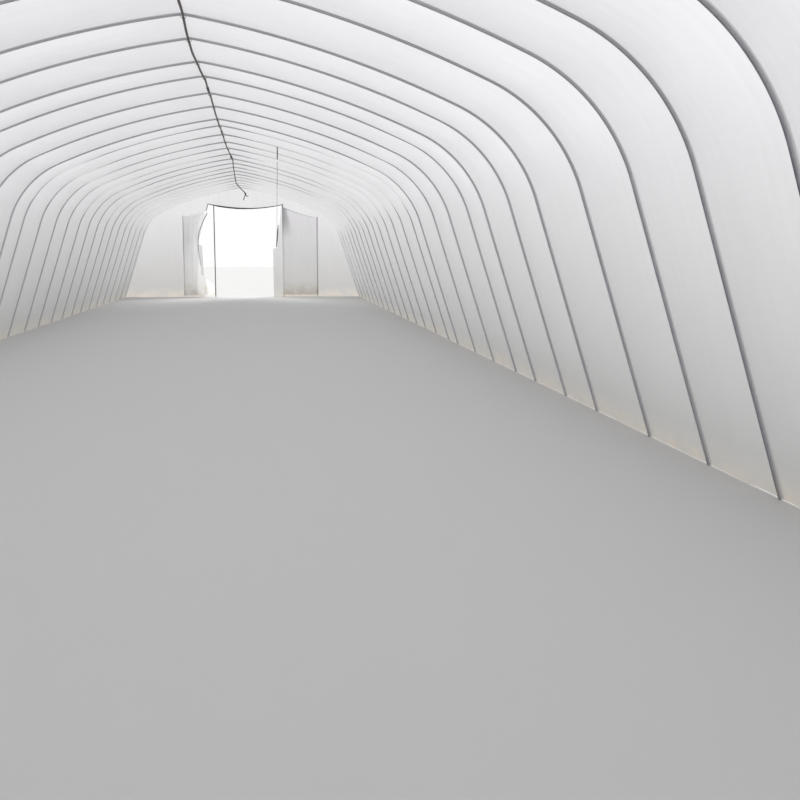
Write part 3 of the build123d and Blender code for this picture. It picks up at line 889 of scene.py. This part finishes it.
# Door frames: two rough poles stood in the ground and a bowed pole laid across them.
# The wood is grey and weathered. The right pole is painted pale like old film wrapped round it: painted
# light, so that it shows no dark line through the film, with painted shade at its top.
# Wire binds the poles where they cross.
timber, timber_in, timber_out = new_group(
    "weathered_grain",
    [
        ("Vector", DIRECTION, None),
        ("Dark", COLOUR, (0.1, 0.1, 0.1, 1.0)),
        ("Pale", COLOUR, (0.3, 0.3, 0.3, 1.0)),
    ],
    [("Colour", COLOUR), ("Height", NUMBER)],
)
timber_given = timber_in.outputs
fibre = place_group(timber, patches, {"Vector": timber_given["Vector"]}, Scale=5.0, Detail=8.0)
fibre_tone = blend_colours(timber, fibre.outputs["Mask"], timber_given["Dark"], timber_given["Pale"])
cracks = spread(timber, fibre.outputs["Fine"], 0.55, 0.7, 0.0, 0.6)
cracked_tone = blend_colours(timber, cracks, fibre_tone, timber_given["Dark"])
timber.links.new(cracked_tone, timber_out.inputs["Colour"])
timber.links.new(fibre.outputs["Fine"], timber_out.inputs["Height"])


def pole_material(name, dark, pale, stretch, painted_light_wrap=None):
    """Weathered pole: grain drawn out along the pole, with a rough bump and no gloss.

    A painted_light_wrap is two distances from the middle of the tunnel and two colours, pale as old film
    rolled round
    the pole: painted light, so that the pole shows no dark line through the film, and on the right poles a
    darker upper colour as painted shade. The pole turns to them from the first distance to the second; the
    first colour is for its upper part.
    """
    material = bpy.data.materials.new(name)
    tree = node_tree(material)
    place = add_node(tree, "ShaderNodeTexCoord").outputs["Object"]
    drawn = add_node(tree, "ShaderNodeMapping", {"Vector": place})
    drawn.inputs["Scale"].default_value = stretch
    grain = place_group(tree, timber, {"Vector": drawn.outputs[0]}, Dark=dark, Pale=pale)
    rough = {"Height": grain.outputs["Height"]}
    bump = add_node(tree, "ShaderNodeBump", rough, Strength=0.5, Distance=0.0015)
    colour = grain.outputs["Colour"]
    if painted_light_wrap:
        start, full, upper, lower = painted_light_wrap
        beside = combine(tree, "ABSOLUTE", coordinate(tree, place, "X"), 0.0)
        painted_light_tone = blend_colours(tree, spread(tree, coordinate(tree, place, "Z"), 1.50, 1.95), lower, upper)
        colour = blend_colours(tree, spread(tree, beside, start, full), colour, painted_light_tone)
    shader = add_node(
        tree, "ShaderNodeBsdfPrincipled", {"Base Color": colour, "Normal": bump.outputs[0]}, Roughness=0.82
    )
    add_node(tree, "ShaderNodeOutputMaterial", {"Surface": shader.outputs[0]})
    return material


upright_grain = (9.0, 9.0, 0.7)
level_grain = (0.7, 9.0, 9.0)
dark_wood = (0.10, 0.095, 0.09, 1.0)
pale_wood = (0.26, 0.25, 0.235, 1.0)
# Painted light: the right jamb is pale low down so it shows no dark line through the leaf film, and darker
# above 1.5 m as painted shade.
jamb_painted_light = (0.1, 0.2, (0.52, 0.52, 0.525, 1.0), (0.84, 0.84, 0.84, 1.0))
upright_wood = pole_material("upright_wood", dark_wood, pale_wood, upright_grain)
lintel_wood = pole_material(
    "lintel_wood", dark=(0.045, 0.042, 0.040, 1.0), pale=(0.13, 0.125, 0.115, 1.0), stretch=level_grain
)
painted_light_pole = pole_material(
    "painted_light_pole", (0.66, 0.655, 0.65, 1.0), (0.80, 0.795, 0.79, 1.0), upright_grain, jamb_painted_light
)

# The lintel's radius at places along it: thickest left of the middle, thinner to both ends.
lintel_girth = [
    (lintel_left, 0.0095), (-0.74, 0.0115), (-0.58, 0.0190),
    (-0.10, 0.0190), (0.30, 0.0135), (lintel_right, 0.0085),
]
lintel_inset = 0.003
lintel_rings = 60
tie_radius = 0.0018
for end in ("far", "near"):
    way = end_turn[end][0]
    low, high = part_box(f"door_lintel_{end}")
    along = np.linspace(lintel_left, lintel_right, lintel_rings)
    thick = np.interp(along, *np.array(lintel_girth).T)
    thick = thick * (1 + 0.05 * ripple(along, along, [(0.31, 0.9), (0.17, 1.3)], 51))
    lintel_y = np.full(lintel_rings, (low[1] + high[1]) / 2 - way * lintel_inset)
    line = np.stack([way * along, lintel_y, lintel_line(along)], axis=1)
    lintel_pole = tube(f"door_lintel_pole_{end}", line, thick, 14)
    apply_material(lintel_pole, lintel_wood)
    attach(lintel_pole, "tunnel")
    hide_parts(f"door_lintel_{end}")
    ties = []
    for jamb_side in ("left", "right"):
        jamb = nodes[f"door_jamb_{end}_{jamb_side}"]
        apply_material(jamb, upright_wood if jamb_side == "left" else painted_light_pole)
        low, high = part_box(f"door_jamb_{end}_{jamb_side}")
        x, y, head = (low[0] + high[0]) / 2, (low[1] + high[1]) / 2, high[2]
        round_jamb = (high[0] - low[0]) / 2 + 0.0022
        crossing = (x, way * (half_length - 0.0075), head + 0.014)
        ties.append(winding("tie", (x, y, head - 0.020), (0.0, 0.0, 1.0), round_jamb, tie_radius, 4, 0.005))
        ties.append(winding("tie", crossing, (1.0, 0.0, 0.0), 0.0185, tie_radius, 3, 0.007))
    frame_ties = join_pieces(f"door_frame_ties_{end}", ties)
    apply_material(frame_ties, tie_wire)
    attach(frame_ties, "tunnel")


# Door leaves: a pole at the hinge, a pole at the free edge and a slack sheet of film between.
# The film is rolled round the free pole, and the left leaf's inner edge hangs loose in a curve.
# A dark grey hem runs down the left leaf's inner edge and along the right leaf's top.
leaf_line_y = half_length - 0.034
leaf_pole_radius = 0.0125
leaf_free_head = 2.052
leaf_foot = 0.055
leaf_inset = 0.014
leaf_columns = 44
leaves = {
    "left": {"hinge": -0.720, "reach": 0.822, "turn": np.radians(180 + 23), "head": 2.287},
    "right": {"hinge": 1.020, "reach": 0.884, "turn": 0.0, "head": 2.315},
}
# The leaves' film is a paler copy of the cover's: painted light. The left leaf has painted shade in a level
# band, the right one in its top inner corner.
door_milk_lit = {
    "left": film_material(
        "door_milk_left",
        milky=(0.99, 0.985, 0.99, 1.0), dusty=(0.90, 0.90, 0.91, 1.0), dust=0.35, glow=0.74,
        low_shade=(0.98, 0.98, 0.97, 1.0), soil_height=0.40,
        level_shade=(1.42, 0.60, (0.82, 0.82, 0.83, 1.0)),
    ),
    "right": film_material(
        "door_milk_right",
        milky=(0.97, 0.965, 0.975, 1.0), dusty=(0.86, 0.86, 0.87, 1.0), dust=0.35, glow=0.86,
        low_shade=(0.97, 0.97, 0.96, 1.0), soil_height=0.40, corner_shade=(0.57, 0.57, 0.58, 1.0),
    ),
}

# The left leaf's loose inner edge: heights, each with how far out from the hinge the edge hangs there.
loose_edge = [
    (0.055, 0.014), (0.30, 0.05), (0.60, 0.36), (1.00, 0.40), (1.335, 0.435), (1.55, 0.425), (1.75, 0.398),
    (1.87, 0.352), (1.97, 0.300), (2.05, 0.254), (2.12, 0.210), (2.20, 0.150), (2.26, 0.045),
]


def leaf_film(leaf, slack_side):
    """Grid of a leaf's film in its own plane: out from the hinge, up from the foot, with folds across it.

    The inner edge is straight on one leaf and a slack curve on the other, and the outer edge rolls round the
    free pole. The top falls from the hinge to the free pole and sags between them.
    """
    rise = np.linspace(0, 1, 60)[:, None]
    inner_z = leaf_foot + (leaf["head"] - 0.055 - leaf_foot) * rise
    inner = np.interp(inner_z, *np.array(loose_edge).T) if slack_side else np.full_like(inner_z, leaf_inset)
    outer = leaf["reach"]
    out = inner + (outer - inner) * np.linspace(0, 1, leaf_columns)[None, :]
    out_share = out / outer
    inner_top = leaf["head"] - 0.030
    outer_top = leaf_free_head - 0.030
    top = inner_top + (outer_top - inner_top) * out_share - 0.030 * np.sin(np.pi * out_share)
    z = leaf_foot + (top - leaf_foot) * rise
    near_hinge = np.exp(-out / 0.22) * ramp(out, 0.0, 0.05)
    folds = ripple(out, z, [(0.13, 2.5), (0.23, -1.9), (0.34, 3.1)], 41 if slack_side else 42)
    belly = np.sin(np.pi * np.clip(out_share, 0, 1))
    off = folds * (0.006 * belly + 0.010 * near_hinge) - 0.010 * belly
    sheet_points = np.stack([out, off, z], axis=-1)
    roll = np.linspace(np.pi, -0.75 * np.pi, 14)
    roll_radius = leaf_pole_radius + 0.0012
    roll_x = outer + roll_radius * np.cos(roll)
    roll_points = np.stack(np.broadcast_arrays(roll_x, -roll_radius * np.sin(roll), z[:, -1:]), axis=-1)
    roll_run = np.broadcast_to(outer + roll_radius * (np.pi - roll), roll_points.shape[:2])
    points = np.concatenate([sheet_points[:, :-1], roll_points], axis=1)
    return points, np.concatenate([out[:, :-1], roll_run], axis=1)


def hang(points, leaf, end):
    """Leaf points turned about the hinge line to their rest place, and half round again for the near end."""
    cos, sin = np.cos(leaf["turn"]), np.sin(leaf["turn"])
    x = leaf["hinge"] + points[..., 0] * cos - points[..., 1] * sin
    y = leaf_line_y + points[..., 0] * sin + points[..., 1] * cos
    return np.stack([x, y, points[..., 2]], axis=-1) * end_turn[end]


# Painted light on the left leaf's free pole and the right leaf's hinge pole: pale under the film; the right
# one darker at the top, painted shade.
left_pole_painted_light = (1.0, 1.2, (0.88, 0.88, 0.885, 1.0), (0.80, 0.80, 0.805, 1.0))
right_pole_painted_light = (1.5, 1.3, (0.46, 0.46, 0.465, 1.0), (0.84, 0.84, 0.84, 1.0))
leaf_wood = {
    "left": pole_material("leaf_wood_left", dark_wood, pale_wood, upright_grain, left_pole_painted_light),
    "right": pole_material(
        "leaf_wood_right", (0.52, 0.52, 0.525, 1.0), (0.64, 0.64, 0.645, 1.0), upright_grain, right_pole_painted_light
    ),
}
for end in ("far", "near"):
    for side_name, leaf in leaves.items():
        body = f"leaf_{end}_{side_name}"
        points, edge_run = leaf_film(leaf, side_name == "left")
        placed = hang(points, leaf, end)
        loose_line, top_line = placed[-3:20:-1, 0], placed[-1, :leaf_columns]
        hem_line = loose_line if side_name == "left" else top_line
        hem_ends = (0.0105, 0.0035) if side_name == "left" else (0.0060, 0.0012)
        hem_radius = np.linspace(*hem_ends, len(hem_line))
        hem = tube(f"leaf_hem_{end}_{side_name}", hem_line, hem_radius, 8)
        apply_material(hem, dark_hem)
        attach(hem, body)
        height = points[..., 2]
        film = grid_piece(f"leaf_film_sheet_{end}_{side_name}", placed, along=edge_run, across=height)
        apply_material(film, door_milk_lit[side_name])
        apply_material(nodes[f"door_leaf_poles_{end}_{side_name}"], leaf_wood[side_name])
        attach(film, body)
        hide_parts(f"door_leaf_film_{end}_{side_name}")
